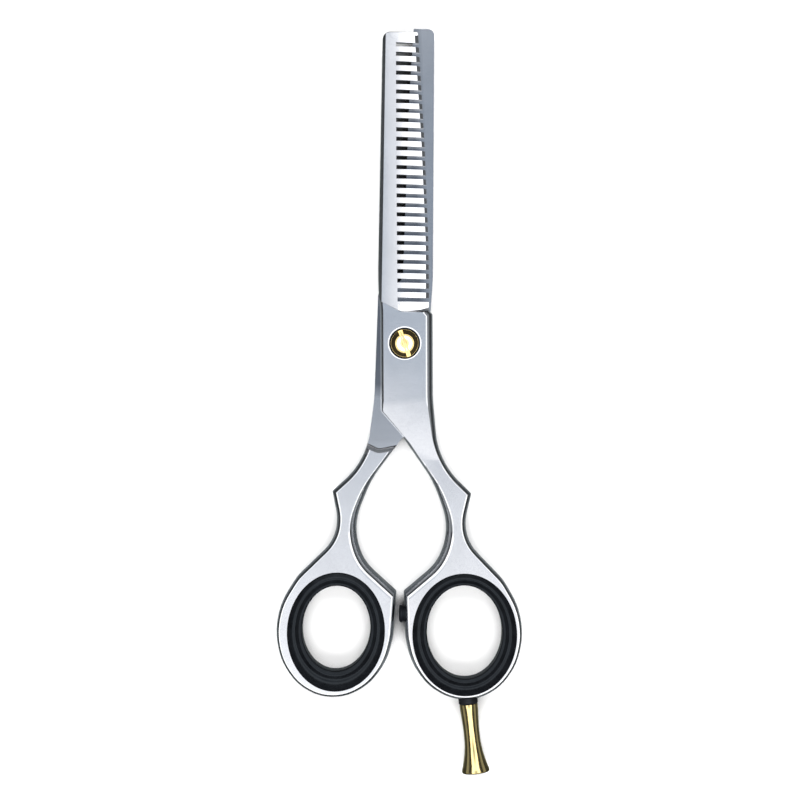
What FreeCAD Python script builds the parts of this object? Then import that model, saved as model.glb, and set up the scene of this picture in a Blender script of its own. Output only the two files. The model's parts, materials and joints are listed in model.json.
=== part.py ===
import FreeCAD, Part
import math
import os

# Thinning shears: a comb half and a plain half, half-lapped on a screw pivot, each with one finger ring.
# Millimetres, +Z up.  The origin is where the pivot axis meets the surface the shears lie on.
# +Y runs to the blade tips and the comb half's handle is on the +X side.
# Both halves come from one forging, drawn closed with its handle on +X and its blade above the lap face.
# The plain half is that forging turned over about the Y line of the lap plane.

V = FreeCAD.Vector

# ---- overall sizes ----
comb_reach = 64.85          # pivot to the comb blade's tip
plain_overhang = 0.8        # plain blade tip beyond the comb's
shank_reach = 45.7          # pivot to the top of the finger ring
total_thickness = 6.0       # both ricassos together
face_step = 0.5             # each face of the shank and ring below the ricasso's face
rest_opening = 0.69         # degrees between closed and the pose modelled here
lap_gap = 0.03              # each lap face to the lap plane

lap_z = total_thickness / 2
handle_top = total_thickness - face_step
handle_half = handle_top - lap_z
lap_face = lap_z + lap_gap

# ---- ricasso and tang ----
ricasso_end = -12.0         # where the flat ricasso starts to slope down into the tang
tang_slope_length = 12.0    # from there to where the slope reaches the handle's face
ricasso_outer = 5.75        # half width on the handle side at the shoulder
ricasso_inner = 5.2         # half width on the lap-edge side at the shoulder
comb_shoulder = 6.3         # height of the comb half's grind shoulder
plain_shoulder = 10.3

# ---- blades ----
comb_spine = 5.62           # spine from the centre line
comb_tip_width = 2.05       # tooth line from the centre line, at the tip
comb_heel_width = 5.03      # tooth line from the centre line, at the shoulder
spine_height = handle_half  # comb blade above the lap plane along the spine, at the heel
tip_height = spine_height - 0.7
spine_bevel = 2.1           # fall of the spine's bevel, to one across
edge_height = 1.0           # comb blade above the lap plane along the tooth ends
tooth_bevel = 0.6           # bevel ground across the tooth ends, as wide as it is high
plain_spine_heel = 5.57
plain_spine_tip = 4.6
plain_edge_heel = 0.68
plain_edge_tip = -0.3
plain_edge_height = 0.2     # plain blade's thickness behind its cutting edge

# ---- comb ----
slot_count = 28
slot_width = 0.85
first_slot = 9.1            # pivot to the middle of the slot nearest it
last_slot = 2.8             # comb's tip to the middle of the slot nearest it
slot_pitch = (comb_reach - last_slot - first_slot) / (slot_count - 1)
gullet_heel = -1.59
gullet_tip = -2.56
gullet_bow = 0.28           # how far the line of slot ends bows towards the spine, times four

# ---- finger rings ----
ring_half_width = 12.1
ring_half_length = 14.06
ring_tilt = 4.4             # degrees
ring_inner_gap = 0.97       # ring's nearest side to the closed centre line
ring_y = -shank_reach - ring_half_length
ring_x = ring_inner_gap + ring_half_width
ring_shoulder = (ring_inner_gap - 0.52, -shank_reach - 5.7)     # where the shank's inner side meets the ring
ring_flat = (ring_inner_gap - 0.07, ring_y - 1.25)              # lower end of the ring's straight inner side

# Steel round each bore and rubber round each finger hole, at the sides and at the ends.
comb_rim = (2.35, 2.46)
comb_rubber = (1.95, 2.0)
plain_rim = (3.05, 2.81)
plain_rubber = (2.0, 2.5)

# bore and finger hole: half width, half length, and middle from the ring's middle
comb_bore = (ring_half_width - comb_rim[0], ring_half_length - comb_rim[1], 0.12, -0.45)
comb_hole = (comb_bore[0] - comb_rubber[0], comb_bore[1] - comb_rubber[1], 0.22, 0.1)
plain_bore = (ring_half_width - plain_rim[0], ring_half_length - plain_rim[1], -0.3, -0.35)
plain_hole = (plain_bore[0] - plain_rubber[0], plain_bore[1] - plain_rubber[1], -0.37, 0.4)
insert_flange = 1.1         # rubber over the ring's faces, past the bore
insert_fit = 0.03           # rubber to metal
bore_tilt = 2.0

# ---- pivot ----
counterbore_depth = 1.6
counterbore_chamfer = 0.34  # width of the polished rim round the counterbore
counterbore_fall = 0.05     # its fall towards the screw
bushing_bore = 2.55         # hole in the comb half that holds the bushing
barrel_radius = 2.0         # the nut's barrel, on which the comb half turns
running_gap = 0.05
screw_radius = 1.2
screw_end = 0.5             # screw's end above the nut's back face
screw_point = 0.3           # chamfer of that end
washer_clearance = 0.3      # cup washer's and spring washer's bores to the screw
thread_gap = 0.06
head_radius = 2.88
head_height = 0.75
head_dish = 0.45
head_edge = 0.15            # break of the head's edge
head_rim = 0.35             # and the flat rim's inner side, from the edge
head_slot = 1.0
head_slot_depth = 0.5
slot_angle = 16.7           # degrees, clockwise from +Y
head_gap = 0.12             # screw's head to the cup washer's wall
cup_floor = 0.35
cup_wall = 0.2
cup_gap = 0.04              # cup washer to the counterbore
cup_lip = 0.3               # cup washer's wall below the ricasso's face
counterbore_radius = head_radius + head_gap + cup_wall + cup_gap
spring_thickness = 0.2
spring_rise = 0.35
spring_inset = 0.25         # spring washer's edge inside the head's
spring_gap = 0.12           # travel left for tightening
nut_flange_radius = 3.0
nut_flange = 0.8
nut_sink = 0.0
nut_edge = 0.25             # chamfer of the flange
glide_radius = 4.3
glide_thickness = 0.22

# ---- bumper and finger rest ----
bumper_y = ring_y + 3.56
bumper_radius = 1.8
bumper_proud = 1.15
bumper_seat = 0.45          # spot face depth in the ring's side
spot_gap = 0.1              # spot faces and blind holes past what they take
bumper_peg_radius = 0.9
bumper_peg = 1.6
bumper_edge = 0.3           # length of the bumper's tapered end
bumper_taper = 0.35         # and what its radius loses there
rest_angle = -90.2          # place round the ring, degrees from its +X
rest_lean = 6.9             # axis, degrees from -Y towards +X
rest_length = 14.5
rest_washer_height = 1.35
rest_washer_radius = 2.05
washer_seat = 0.35          # depth of the washer's spot face in the ring
washer_edge = 0.25          # chamfer of the washer
foot_dome = 0.25
rest_top_radius = 1.9
rest_waist_radius = 1.65
rest_flare_radius = lap_z - 0.05
stud_radius = 1.0
stud_in_ring = 1.45
stud_in_rest = 4.0
stud_fit = 0.03
stud_hole_gap = 0.6         # past the stud's end in the ring
rest_edge = 0.15            # break of the rest's upper edge
rest_rim = 0.35             # chamfer of its foot
rest_foot_band = 0.9        # straight band round the foot

# Edge rounding of the forging: height above the lap plane as a share of the handle's, and inset.
edge_profile = [(0.0, 0.0), (0.5, 0.12), (0.78, 0.38), (0.9, 0.62), (0.975, 0.82), (1.0, 1.12)]
pad_inset = 1.59            # ricasso's flat face inside the outline
pad_root_inset = 0.62       # its side, where it starts inside the handle's rounding
pad_root_depth = 0.3        # and how far that is below the handle's face
pad_side_inset = 0.8        # its side where the steep root turns into the bevel
pad_side_rise = 0.1         # and how far that is above the handle's face
chamfer_width = 0.38        # shallow polished chamfer round that face
chamfer_fall = 0.07
lap_edge = 0.45             # share of the inset along the lap edge and the spine
ring_edge = (0.82, 0.75, 0.7, 0.7, 0.7, 0.7, 0.75, 0.82)    # share round the ring
least_radius = 0.05


# ---------------------------------------------------------------- outlines

def ellipse_corner(angle, step):
    """Corner where the ring ellipse's tangents half a step either side of an angle meet."""
    u = ring_half_width * math.cos(math.radians(angle)) / math.cos(math.radians(step / 2))
    v = ring_half_length * math.sin(math.radians(angle)) / math.cos(math.radians(step / 2))
    c = math.cos(math.radians(ring_tilt))
    s = math.sin(math.radians(ring_tilt))
    return (ring_x + u * c - v * s, ring_y + u * s + v * c)


def along_shank(share):
    """Height of a point on the shank, from the ricasso's end (0) to the ring's top (1)."""
    return ricasso_end + share * (-shank_reach - ricasso_end)


def handle_corners():
    """Corners (x, y, radius, inset share) from the lap edge round the ring to the ricasso's outer side."""
    corners = [
        (-ricasso_inner, comb_shoulder, 15.0, lap_edge),
        (-4.85, ricasso_end - 2.1, 1.3, 0.35),
        (-0.2, along_shank(0.217), 15.0, 0.6),
        (6.3, along_shank(0.489), 22.0, 1.3),
        (ring_x - 3.11, along_shank(0.782), 13.0, 1.8),
        (ring_x - 5.81, -shank_reach + 0.2, 10.3, 1.8),
        (ring_shoulder[0], ring_shoulder[1], 0.6, 0.95),
        (ring_flat[0], ring_flat[1], 23.0, 0.9),
    ]
    step = 25.0
    for number, share in enumerate(ring_edge):
        x, y = ellipse_corner(202.5 + step * number, step)
        corners.append((x, y, 60.0, share))
    x, y = ellipse_corner(45.0, 30.0)
    corners.append((x, y, 22.0, 0.9))
    corners += [
        (ring_x + 0.13, -shank_reach + 4.9, 10.6, 1.0),
        (ring_x + 0.08, along_shank(0.712), 12.0, 1.0),
        (ring_x + 1.23, along_shank(0.564), 0.4, 1.0),
        (9.63, along_shank(0.433), 15.5, 1.0),
        (7.04, along_shank(0.275), 15.0, 1.0),
        (ricasso_outer + 0.27, ricasso_end + 0.5, 30.0, 1.0),
    ]
    return corners


def comb_corners():
    middle = comb_shoulder + 0.25 * (comb_reach - comb_shoulder)
    upper = comb_shoulder + 0.6 * (comb_reach - comb_shoulder)
    span = comb_heel_width - comb_tip_width
    return [
        (ricasso_outer, comb_shoulder - 0.1, 0.7, 1.0),
        (comb_heel_width + 0.03, comb_shoulder + 0.6, 0.5, 1.0),
        (comb_heel_width - 0.09 * span, middle, 300.0, 1.0),
        (comb_heel_width - 0.45 * span, upper, 300.0, 1.0),
        (comb_tip_width, comb_reach, 0.3, 1.0),
        (-comb_spine + 0.25, comb_reach, 1.6, lap_edge),
        (-comb_spine - 0.08, comb_shoulder + 6.7, 60.0, lap_edge),
    ]


def plain_corners():
    tip = comb_reach + plain_overhang
    return [
        (ricasso_outer, plain_shoulder, 0.8, 1.0),
        (plain_edge_heel, plain_shoulder + 3.0, 2.0, 0.3),
        (plain_edge_heel - 0.4, 0.78 * tip, 300.0, 0.3),
        (plain_edge_tip, tip, 0.1, 1.0),
        (-plain_spine_tip, tip, 1.3, lap_edge),
        (-plain_spine_heel, plain_shoulder + 2.7, 40.0, lap_edge),
    ]


def turn_at(before, here, after):
    """Signed turn in radians at a corner, positive to the left, and the two side lengths."""
    ax, ay = here[0] - before[0], here[1] - before[1]
    bx, by = after[0] - here[0], after[1] - here[1]
    return math.atan2(ax * by - ay * bx, ax * bx + ay * by), math.hypot(ax, ay), math.hypot(bx, by)


def fitting_radii(corners):
    """Each corner's radius, made smaller where two arcs would need more than the side between them."""
    count = len(corners)
    turns = [turn_at(corners[i - 1], corners[i], corners[(i + 1) % count]) for i in range(count)]
    tangent = [corners[i][2] * math.tan(abs(turns[i][0]) / 2) for i in range(count)]
    share = [1.0] * count
    for i in range(count):
        following = (i + 1) % count
        room = 0.97 * turns[i][2] / max(tangent[i] + tangent[following], 1e-9)
        share[i] = min(share[i], room)
        share[following] = min(share[following], room)
    return [max(corners[i][2] * share[i], least_radius) for i in range(count)]


def inset_corners(corners, inset):
    """Corners and radii of the outline moved inwards by an inset, side by side."""
    count = len(corners)
    radii = fitting_radii(corners)
    result = []
    for i in range(count):
        before, here, after = corners[i - 1], corners[i], corners[(i + 1) % count]
        turn, length_a, length_b = turn_at(before, here, after)
        nax, nay = -(here[1] - before[1]) / length_a, (here[0] - before[0]) / length_a
        nbx, nby = -(after[1] - here[1]) / length_b, (after[0] - here[0]) / length_b
        shift_a = inset * before[3]
        shift_b = inset * here[3]
        det = nax * nby - nay * nbx
        dx = (shift_a * nby - shift_b * nay) / det
        dy = (shift_b * nax - shift_a * nbx) / det
        change = (shift_a + shift_b) / 2
        radius = radii[i] - change if turn > 0 else radii[i] + change
        result.append((here[0] + dx, here[1] + dy, max(radius, least_radius)))
    return [(x, y, fit) for (x, y, radius), fit in zip(result, fitting_radii(result))]


def outline(corners, inset, z):
    """Closed wire of straight sides joined by tangent arcs, at a height."""
    points = inset_corners(corners, inset)
    count = len(points)
    edges = []
    first = None
    last = None
    for i in range(count):
        before, here, after = points[i - 1], points[i], points[(i + 1) % count]
        turn, length_a, length_b = turn_at(before, here, after)
        reach = here[2] * math.tan(abs(turn) / 2)
        corner = V(here[0], here[1], z)
        back = (V(before[0], before[1], z) - corner).normalize()
        ahead = (V(after[0], after[1], z) - corner).normalize()
        start = corner + back * reach
        end = corner + ahead * reach
        inward = (back + ahead).normalize()
        to_arc = here[2] / math.cos(abs(turn) / 2) - here[2]
        if last is not None:
            edges.append(Part.LineSegment(last, start).toShape())
        else:
            first = start
        edges.append(Part.Arc(start, corner + inward * to_arc, end).toShape())
        last = end
    edges.append(Part.LineSegment(last, first).toShape())
    return Part.Wire(edges)


def stacked(corners, levels):
    """Solid through the outline at each (height, inset)."""
    wires = [outline(corners, inset, z) for z, inset in levels]
    return Part.makeLoft(wires, True, True)


def ellipse_wire(half_width, half_length, x, y, z, tilt):
    major = max(half_width, half_length)
    minor = min(half_width, half_length)
    turn = tilt + (90.0 if half_length >= half_width else 0.0)
    curve = Part.Ellipse(V(0, 0, 0), major, minor)
    wire = Part.Wire([curve.toShape()])
    wire.Placement = FreeCAD.Placement(V(x, y, z), FreeCAD.Rotation(V(0, 0, 1), turn))
    return wire


def turned(points):
    """Solid of revolution about Z from a closed (radius, height) outline."""
    wire = Part.makePolygon([V(r, 0, z) for r, z in points + points[:1]])
    return Part.Face(wire).revolve(V(0, 0, 0), V(0, 0, 1), 360)


def tube(outer, inner, z0, z1):
    return turned([(inner, z0), (outer, z0), (outer, z1), (inner, z1)])


def disc(radius, z0, z1):
    return Part.makeCylinder(radius, z1 - z0, V(0, 0, z0))


# ---------------------------------------------------------------- the forging

def forging(corners):
    """Handle, ricasso and blade blank at full thickness on both sides of the lap plane."""
    above = [(lap_z + share * handle_half, inset) for share, inset in edge_profile]
    below = [(lap_z - share * handle_half, inset) for share, inset in reversed(edge_profile[1:])]
    body = stacked(corners, below + above)
    pad = stacked(corners, [
        (handle_top - pad_root_depth, pad_root_inset),
        (handle_top + pad_side_rise, pad_side_inset),
        (total_thickness - chamfer_fall, pad_inset - chamfer_width),
        (total_thickness, pad_inset),
    ])
    return body.fuse(pad.cut(tang_slope()))


def tang_slope():
    """What the ricasso's pad loses below its flat: a slope down into the handle's face."""
    low = handle_top - 2 * pad_root_depth
    length = tang_slope_length * (total_thickness - low) / face_step
    side = [
        V(-50, ricasso_end, total_thickness),
        V(-50, ricasso_end - length, low),
        V(-50, -120, low),
        V(-50, -120, total_thickness + 1),
        V(-50, ricasso_end, total_thickness + 1),
    ]
    return Part.Face(Part.makePolygon(side + side[:1])).extrude(V(100, 0, 0))


def lap_cut():
    """Everything under the lap face above the scooped ramp at the root of the tang."""
    top = comb_reach + 10
    corners = [
        (-14.0, top, 1.0, 1.0),
        (-14.0, along_shank(0.2), 1.0, 1.0),
        (4.9, along_shank(0.327), 2.5, 1.0),
        (11.2, along_shank(0.245), 1.0, 1.0),
        (14.0, top, 1.0, 1.0),
    ]
    scoop = [(-0.33, 0.0), (0.13, 0.0), (0.5, 0.12), (0.8, 0.32), (0.93, 0.6)]
    return stacked(corners, [(share * lap_z, inset) for share, inset in scoop] + [(lap_face, 1.0)])


def blade_cut(shoulder, heel, tip, swoop):
    """Everything above the blade's ground face and outside its spine's bevel, shoulder to tip."""
    sections = []
    for y, (left, middle, right) in ((shoulder - 4, heel), (comb_reach + 6, tip)):
        low = Part.Arc(V(left[0], y, left[1]), V(middle[0], y, middle[1]), V(right[0], y, right[1])).toShape()
        side = left[0] - 2.0
        high = Part.makePolygon([
            V(right[0], y, right[1]),
            V(right[0], y, 12),
            V(side, y, 12),
            V(side, y, left[1] - 2.0 * spine_bevel),
            V(left[0], y, left[1]),
        ])
        sections.append(Part.Wire([low] + high.Edges))
    above = Part.makeLoft(sections, True, True)
    top = comb_reach + 12
    corners = [
        (-16.0, top, 1.0, 1.0),
        (-16.0, shoulder + swoop * 15.1, 1.0, 1.0),
        (-0.9, shoulder + 0.1, 3.0, 1.0),
        (16.0, shoulder - 0.05, 1.0, 1.0),
        (16.0, top, 1.0, 1.0),
    ]
    foot = [(0.0, 1.6), (0.33, 1.2), (0.46, 0.72), (0.63, 0.36), (0.83, 0.12), (2.0, -0.05)]
    return above.common(stacked(corners, [(lap_z + share * lap_z, inset) for share, inset in foot]))


def ring_bore(bore):
    half_width, half_length, dx, dy = bore
    wire = ellipse_wire(half_width, half_length, ring_x + dx, ring_y + dy, -2, bore_tilt)
    return Part.Face(wire).extrude(V(0, 0, total_thickness + 4))


def teeth_slots():
    """The gaps of the comb, one box a slot."""
    slots = []
    for number in range(slot_count):
        y = first_slot + slot_pitch * number
        share = number / (slot_count - 1)
        gullet = gullet_heel + (gullet_tip - gullet_heel) * share - gullet_bow * share * (1 - share)
        corner = V(gullet, y - slot_width / 2, 0)
        slots.append(Part.makeBox(comb_heel_width + 4 - gullet, slot_width, total_thickness, corner))
    return slots


# ---------------------------------------------------------------- the two halves

def comb_half():
    body = forging(handle_corners() + comb_corners())
    heel = [(0.72 - comb_spine, lap_z + spine_height), (0.2, lap_z + spine_height - 0.45), (8.0, lap_z + 0.25)]
    tip = [(0.95 - comb_spine, lap_z + tip_height), (-1.4, lap_z + tip_height - 0.25), (5.2, lap_z + 0.3)]
    heel = fit_edge(heel, comb_heel_width)
    tip = fit_edge(tip, comb_tip_width)
    body = body.cut([
        lap_cut(),
        blade_cut(comb_shoulder, heel, tip, 0.52),
        ring_bore(comb_bore),
        disc(bushing_bore, -1, total_thickness + 1),
        disc(counterbore_radius, total_thickness - counterbore_depth, total_thickness + 1),
        counterbore_cone(),
        bumper_hole(),
        rest_hole(),
    ])
    return body.cut(teeth_slots() + tooth_ends())


def tooth_line(y):
    """Place across of the tooth ends at a height."""
    line = [corner[:2] for corner in comb_corners()[1:5]]
    for before, after in zip(line, line[1:]):
        if y <= after[1]:
            break
    return before[0] + (after[0] - before[0]) * (y - before[1]) / (after[1] - before[1])


def tooth_ends():
    """What the bevel takes off the tooth ends, a wedge a tooth."""
    low = lap_z + edge_height - tooth_bevel
    wedges = []
    for number in range(slot_count):
        start = first_slot + slot_pitch * number
        end = min(start + slot_pitch, comb_reach - tooth_bevel)
        x = tooth_line(start)
        side = [V(x + 1, start, low - 1), V(x + 1, start, low + 3), V(x - 3, start, low + 3)]
        run = V(tooth_line(end) - x, end - start, 0)
        wedges.append(Part.Face(Part.makePolygon(side + side[:1])).extrude(run))
    return wedges


def fit_edge(section, width):
    """Blade section raised or lowered so that it stands edge_height above the lap plane at the tooth line."""
    arc = Part.Arc(*[V(x, 0, z) for x, z in section]).toShape()
    upright = Part.makeLine(V(width, 0, -50), V(width, 0, 50))
    height = arc.distToShape(upright)[1][0][0].z
    shift = lap_z + edge_height - height
    return [(x, z + shift * (x - section[0][0]) / (width - section[0][0])) for x, z in section]


def plain_half():
    """The plain half in the forging's own place, before it is turned over."""
    body = forging(handle_corners() + plain_corners())
    heel = [
        (0.8 - plain_spine_heel, lap_z + spine_height),
        (-1.8, lap_z + spine_height - 0.75),
        (plain_edge_heel + 0.3, lap_z + plain_edge_height),
    ]
    tip = [
        (0.8 - plain_spine_tip, lap_z + tip_height),
        (-1.8, lap_z + tip_height - 0.55),
        (plain_edge_tip + 0.3, lap_z + plain_edge_height),
    ]
    return body.cut([
        lap_cut(),
        blade_cut(plain_shoulder, heel, tip, 0.1),
        ring_bore(plain_bore),
        disc(barrel_radius + insert_fit, -1, total_thickness + 1),
        disc(nut_flange_radius + insert_fit, total_thickness - nut_sink - nut_flange - insert_fit, 9),
        disc(glide_radius + running_gap, lap_z, lap_z + glide_thickness + insert_fit),
    ])


def counterbore_cone():
    return Part.makeCone(
        counterbore_radius, counterbore_radius + 2 * counterbore_chamfer,
        2 * counterbore_fall,
        V(0, 0, total_thickness - counterbore_fall),
    )


# ---------------------------------------------------------------- pivot

def pivot_nut():
    """Flanged nut pressed in from the back; the comb half turns on its barrel."""
    bottom = nut_sink
    top = total_thickness - counterbore_depth - running_gap
    bore = screw_radius + thread_gap
    return turned([
        (bore, bottom),
        (nut_flange_radius - nut_edge, bottom),
        (nut_flange_radius, bottom + nut_edge),
        (nut_flange_radius, bottom + nut_flange),
        (barrel_radius, bottom + nut_flange),
        (barrel_radius, top),
        (bore, top),
    ])


def pivot_bushing():
    top = total_thickness - counterbore_depth
    return tube(bushing_bore - insert_fit, barrel_radius + running_gap, lap_face, top)


def glide_washer():
    """Nylon washer between the halves, in the plain half's recess."""
    top = lap_z - lap_gap
    return tube(glide_radius, barrel_radius + running_gap, lap_z - glide_thickness, top)


def screw_cup():
    """Black cup washer that lines the counterbore."""
    bottom = total_thickness - counterbore_depth
    outer = counterbore_radius - cup_gap
    inner = outer - cup_wall
    return turned([
        (screw_radius + washer_clearance, bottom),
        (outer, bottom),
        (outer, total_thickness - cup_lip),
        (inner, total_thickness - cup_lip),
        (inner, bottom + cup_floor),
        (screw_radius + washer_clearance, bottom + cup_floor),
    ])


def spring_washer():
    """Conical spring washer under the screw's head."""
    bottom = total_thickness - counterbore_depth + cup_floor + spring_gap
    inner = screw_radius + washer_clearance
    outer = head_radius - spring_inset
    lift = spring_rise - spring_thickness
    return turned([
        (inner, bottom + lift),
        (outer, bottom),
        (outer, bottom + spring_thickness),
        (inner, bottom + spring_rise),
    ])


def pivot_screw():
    """Slotted tension screw with a dished head."""
    bottom = total_thickness - counterbore_depth + cup_floor + spring_gap + spring_rise
    top = bottom + head_height
    tip = nut_sink + screw_end
    body = turned([
        (0, tip),
        (screw_radius - screw_point, tip),
        (screw_radius, tip + screw_point),
        (screw_radius, bottom),
        (head_radius, bottom),
        (head_radius, top - head_edge),
        (head_radius - head_edge, top),
        (head_radius - head_rim, top),
        (1.75, top - head_dish),
        (1.45, top - head_dish + 0.12),
        (0.75, top - head_dish + 0.12),
        (0.6, top - head_dish),
        (0, top - head_dish),
    ])
    slot = Part.makeBox(2 * head_radius + 1, head_slot, 2, V(-head_radius - 0.5, -head_slot / 2, 0))
    slot.translate(V(0, 0, top - head_slot_depth))
    slot.rotate(V(0, 0, 0), V(0, 0, 1), 90 + slot_angle)
    return body.cut(slot)


# ---------------------------------------------------------------- rubber

def ring_insert(bore, hole):
    """Grooved rubber ring: a sleeve in the bore with a rounded flange over each face."""

    def at(growth, z, around=bore):
        half_width, half_length, dx, dy = around
        return ellipse_wire(half_width + growth, half_length + growth, ring_x + dx, ring_y + dy, z, bore_tilt)

    low = total_thickness - handle_top
    sleeve = Part.makeLoft([at(-insert_fit, low), at(-insert_fit, handle_top)], True, True)
    flange = total_thickness - handle_top
    upper = [(0.0, 1.0), (0.5, 0.92), (0.85, 0.7), (1.0, 0.3)]
    top = [at(insert_flange * share, handle_top + flange * rise) for rise, share in upper]
    bottom = [at(insert_flange * share, low - flange * rise) for rise, share in upper]
    body = sleeve.fuse([Part.makeLoft(top, True, True), Part.makeLoft(bottom, True, True)])
    flare = [(0.0, 0.75), (0.25, 0.35), (0.9, 0.12), (lap_z, 0.0)]
    hole_low = [at(growth, z, hole) for z, growth in flare]
    hole_high = [at(growth, total_thickness - z, hole) for z, growth in reversed(flare[:-1])]
    return body.cut(Part.makeLoft(hole_low + hole_high, True, True))


def bumper_side():
    """Where the ring's inner side stands at the bumper's height."""
    share = (ring_shoulder[1] - bumper_y) / (ring_shoulder[1] - ring_flat[1])
    return ring_shoulder[0] + share * (ring_flat[0] - ring_shoulder[0])


def along_x(radius, x0, x1):
    return Part.makeCylinder(radius, x1 - x0, V(x0, bumper_y, lap_z), V(1, 0, 0))


def bumper_hole():
    side = bumper_side()
    seat = side + bumper_seat
    spot = along_x(bumper_radius + spot_gap, side - 5, seat)
    peg = along_x(bumper_peg_radius + insert_fit, seat - spot_gap, seat + bumper_peg + spot_gap)
    return spot.fuse(peg)


def bumper():
    side = bumper_side()
    seat = side + bumper_seat
    front = side - bumper_proud
    small = bumper_radius - bumper_taper
    end = Part.makeCone(small, bumper_radius, bumper_edge, V(front, bumper_y, lap_z), V(1, 0, 0))
    pad = along_x(bumper_radius, front + bumper_edge, seat)
    return end.fuse([pad, along_x(bumper_peg_radius, seat, seat + bumper_peg)])


# ---------------------------------------------------------------- finger rest

def rest_root():
    """Point on the ring's outer side that the rest's washer stands on."""
    angle = math.radians(rest_angle)
    x = ring_half_width * math.cos(angle)
    y = ring_half_length * math.sin(angle)
    tilt = math.radians(ring_tilt)
    return V(
        ring_x + x * math.cos(tilt) - y * math.sin(tilt),
        ring_y + x * math.sin(tilt) + y * math.cos(tilt),
        lap_z,
    )


def rest_place(shape):
    """Moves a shape made along +Z from its seat to the finger rest's axis, pointing away from the ring."""
    axis = V(math.sin(math.radians(rest_lean)), -math.cos(math.radians(rest_lean)), 0)
    shape.Placement = FreeCAD.Placement(rest_root(), FreeCAD.Rotation(V(0, 0, 1), axis))
    return shape


def rest_hole():
    """Spot face that takes the ring's rounding away under the washer, and the stud's hole."""
    spot = disc(rest_washer_radius + 1.5 * spot_gap, -washer_seat, 4)
    return rest_place(spot.fuse(disc(stud_radius + stud_fit, -stud_in_ring - stud_hole_gap, 0)))


def rest_washer():
    bore = stud_radius + spot_gap
    edge = rest_washer_radius - washer_edge
    top = rest_washer_height - washer_seat
    return rest_place(turned([
        (bore, -washer_seat),
        (rest_washer_radius, -washer_seat),
        (rest_washer_radius, top - washer_edge),
        (edge, top),
        (bore, top),
    ]))


def finger_rest():
    """Turned rest: a neck that narrows to a waist and flares to a slightly domed foot."""
    seat = rest_washer_height - washer_seat
    waist = seat + 0.47 * rest_length
    foot = seat + rest_length
    side = Part.BSplineCurve()
    side.interpolate([
        V(rest_top_radius, 0, seat + rest_edge),
        V(rest_waist_radius, 0, waist),
        V(rest_waist_radius + 0.35, 0, waist + 0.25 * rest_length),
        V(rest_flare_radius, 0, foot - rest_foot_band),
    ])
    rim = rest_flare_radius - rest_rim
    sphere = (rim * rim + foot_dome * foot_dome) / (2 * foot_dome)
    half_angle = math.asin(rim / sphere) / 2
    dome = Part.Arc(
        V(rim, 0, foot - foot_dome),
        V(sphere * math.sin(half_angle), 0, foot - sphere + sphere * math.cos(half_angle)),
        V(0, 0, foot),
    )
    bore = stud_radius + stud_fit
    before = Part.makePolygon([
        V(0, 0, seat + stud_in_rest),
        V(bore, 0, seat + stud_in_rest),
        V(bore, 0, seat),
        V(rest_top_radius - rest_edge, 0, seat),
        V(rest_top_radius, 0, seat + rest_edge),
    ])
    after = Part.makePolygon([
        V(rest_flare_radius, 0, foot - rest_foot_band),
        V(rest_flare_radius, 0, foot - foot_dome - 0.3),
        V(rim, 0, foot - foot_dome),
    ])
    axis = Part.makeLine(V(0, 0, foot), V(0, 0, seat + stud_in_rest))
    outline_edges = before.Edges + [side.toShape()] + after.Edges + [dome.toShape(), axis]
    return rest_place(Part.Face(Part.Wire(outline_edges)).revolve(V(0, 0, 0), V(0, 0, 1), 360))


def rest_stud():
    """Threaded stud fixed in the rest and screwed into the ring."""
    seat = rest_washer_height - washer_seat
    return rest_place(disc(stud_radius, -stud_in_ring, seat + stud_in_rest - 0.2))


# ---------------------------------------------------------------- places at rest

def turn_over(shape):
    """From the forging's place to the plain half's: half a turn about the lap plane's Y line."""
    shape.rotate(V(0, 0, lap_z), V(0, 1, 0), 180)
    return shape


def swing(shape, degrees):
    shape.rotate(V(0, 0, 0), V(0, 0, 1), degrees)
    return shape


os.makedirs("parts", exist_ok=True)

comb_side = {
    "comb_half": comb_half(),
    "comb_ring_insert": ring_insert(comb_bore, comb_hole),
    "pivot_bushing": pivot_bushing(),
    "screw_cup": screw_cup(),
    "bumper": bumper(),
    "rest_washer": rest_washer(),
    "finger_rest": finger_rest(),
    "finger_rest_stud": rest_stud(),
}
plain_side = {
    "plain_half": turn_over(plain_half()),
    "plain_ring_insert": turn_over(ring_insert(plain_bore, plain_hole)),
    "pivot_nut": pivot_nut(),
    "glide_washer": glide_washer(),
    "spring_washer": spring_washer(),
    "pivot_screw": pivot_screw(),
}

for pieces, degrees in ((comb_side, rest_opening / 2), (plain_side, -rest_opening / 2)):
    for name, shape in pieces.items():
        placed = swing(shape, degrees)
        solid = placed.Solids[0] if len(placed.Solids) == 1 else placed
        solid.exportStep(os.path.join("parts", name + ".step"))
        print(name, len(placed.Solids), placed.isValid(), round(placed.Volume, 2), placed.BoundBox)
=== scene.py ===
import json
import math

import bpy
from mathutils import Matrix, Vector


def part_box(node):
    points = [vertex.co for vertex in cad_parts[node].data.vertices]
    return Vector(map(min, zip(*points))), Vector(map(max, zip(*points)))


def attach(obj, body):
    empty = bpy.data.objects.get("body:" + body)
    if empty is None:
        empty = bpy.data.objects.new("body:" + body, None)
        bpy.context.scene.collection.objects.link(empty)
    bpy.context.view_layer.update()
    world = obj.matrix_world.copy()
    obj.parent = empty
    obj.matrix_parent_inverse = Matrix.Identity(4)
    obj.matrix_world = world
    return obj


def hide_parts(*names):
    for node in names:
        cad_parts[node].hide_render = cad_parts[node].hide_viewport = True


bl_info = {
    "name": "Thinning Shears",
    "version": (1, 0, 0),
    "blender": (4, 5, 0),
    "location": "View3D > Sidebar > Shears",
    "description": "Salon thinning shears: comb half, plain half, pivot screw, ring inserts and finger rest",
    "category": "Add Mesh",
}

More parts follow.
